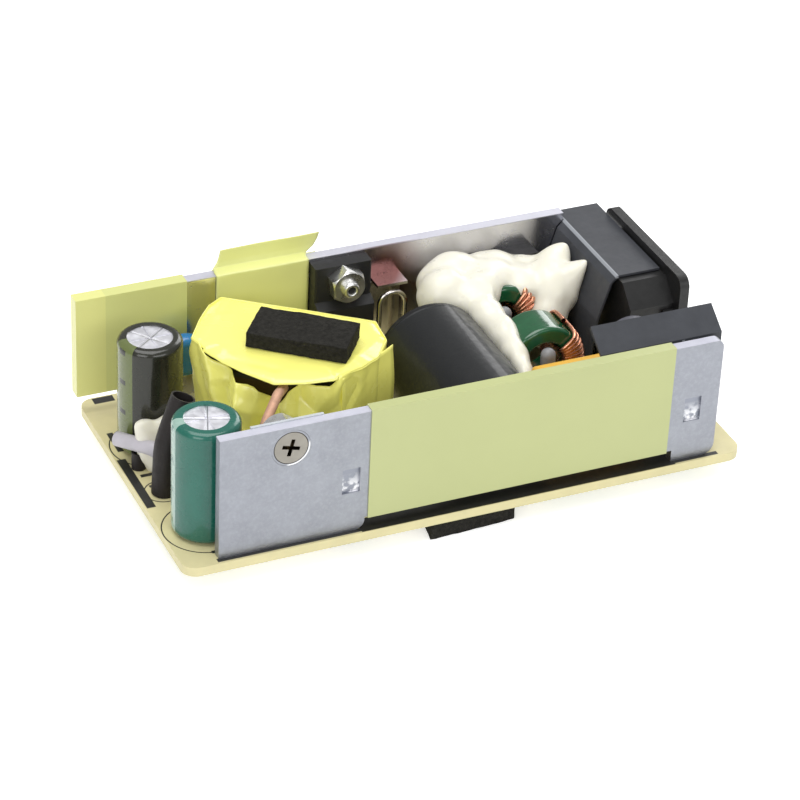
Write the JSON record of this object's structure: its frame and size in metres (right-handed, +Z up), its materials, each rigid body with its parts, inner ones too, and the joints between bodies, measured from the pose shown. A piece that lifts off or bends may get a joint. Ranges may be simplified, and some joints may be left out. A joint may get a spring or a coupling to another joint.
{
  "type": "open frame power supply",
  "caption": "Bare mains adapter board with two heatsinks, taped transformer, chokes, capacitors, white silicone and a mains socket at one end.",
  "frame": {"origin": "middle of the outline from above, at the bottom of the foam pad under the board", "axes": "+X along the board to the mains socket, +Y to the rear heatsink, +Z up"},
  "size_m": [0.0988, 0.0514, 0.0298],
  "materials": {
    "board": "cream laminate",
    "heatsink_metal": "rolled sheet",
    "yellow_tape": "polyester film",
    "nickel": "nickel plated",
    "tinned_wire": "tinned",
    "black_package": "moulded epoxy",
    "grey_pad": "silicone pad",
    "can_metal": "bright can",
    "black_film": "shrink film",
    "green_film": "shrink film",
    "ferrite": "sintered ferrite",
    "bobbin_plastic": "moulded",
    "copper": "enamelled copper",
    "foam": "cut foam rubber",
    "black_sleeve": "fibre sleeve",
    "grey_sleeve": "soft sleeve",
    "blue_coat": "dipped",
    "grey_coat": "dipped",
    "silicone": "cured silicone",
    "green_coat": "epoxy coated ferrite",
    "grey_plastic": "moulded",
    "orange_case": "potted case",
    "grey_card": "insulating card",
    "inlet_plastic": "moulded",
    "solder": "solder"
  },
  "bodies": {
    "root": {"blue_disc_capacitor": "blue_coat", "bridge_rectifier": "black_package", "bulk_capacitor_can": "can_metal", "bulk_capacitor_sleeve": "black_film", "capacitor_dark_can": "can_metal", "capacitor_dark_sleeve": "black_film", "capacitor_green_can": "can_metal", "capacitor_green_sleeve": "green_film", "capacitor_small_can": "can_metal", "capacitor_small_sleeve": "black_film", "chip_pins": "tinned_wire", "choke_front_base": "grey_plastic", "choke_front_core": "green_coat", "choke_front_winding": "copper", "choke_rear_base": "grey_plastic", "choke_rear_core": "green_coat", "choke_rear_winding": "copper", "circuit_board": "board", "component_leads": "tinned_wire", "control_chip": "black_package", "cut_wires": "tinned_wire", "film_capacitor": "orange_case", "foam_pad": "foam", "fuse": "black_package", "grey_sleeve": "grey_sleeve", "heatsink_front": "heatsink_metal", "heatsink_legs": "tinned_wire", "heatsink_rear": "heatsink_metal", "inlet_contacts": "tinned_wire", "inlet_housing": "inlet_plastic", "insulating_pad": "grey_pad", "insulation_sheet_front": "grey_card", "insulation_sheet_inlet": "grey_card", "nuts": "nickel", "optocoupler": "black_package", "package_leads": "tinned_wire", "power_transistor": "black_package", "rectifier_body": "black_package", "rectifier_tab": "tinned_wire", "screw_front": "nickel", "screw_rear": "nickel", "short_tube": "black_sleeve", "silicone_main": "silicone", "silicone_small": "silicone", "solder_joints": "solder", "spring_clip": "nickel", "tall_sleeve": "black_sleeve", "tape_front": "yellow_tape", "tape_rear_left": "yellow_tape", "tape_rear_middle": "yellow_tape", "transformer_bobbin": "bobbin_plastic", "transformer_core": "ferrite", "transformer_lead": "copper", "transformer_pad": "foam", "transformer_pins": "tinned_wire", "transformer_tape": "yellow_tape", "transformer_winding": "copper", "varistor": "grey_coat", "wire_link": "tinned_wire"}
  },
  "joints": []
}
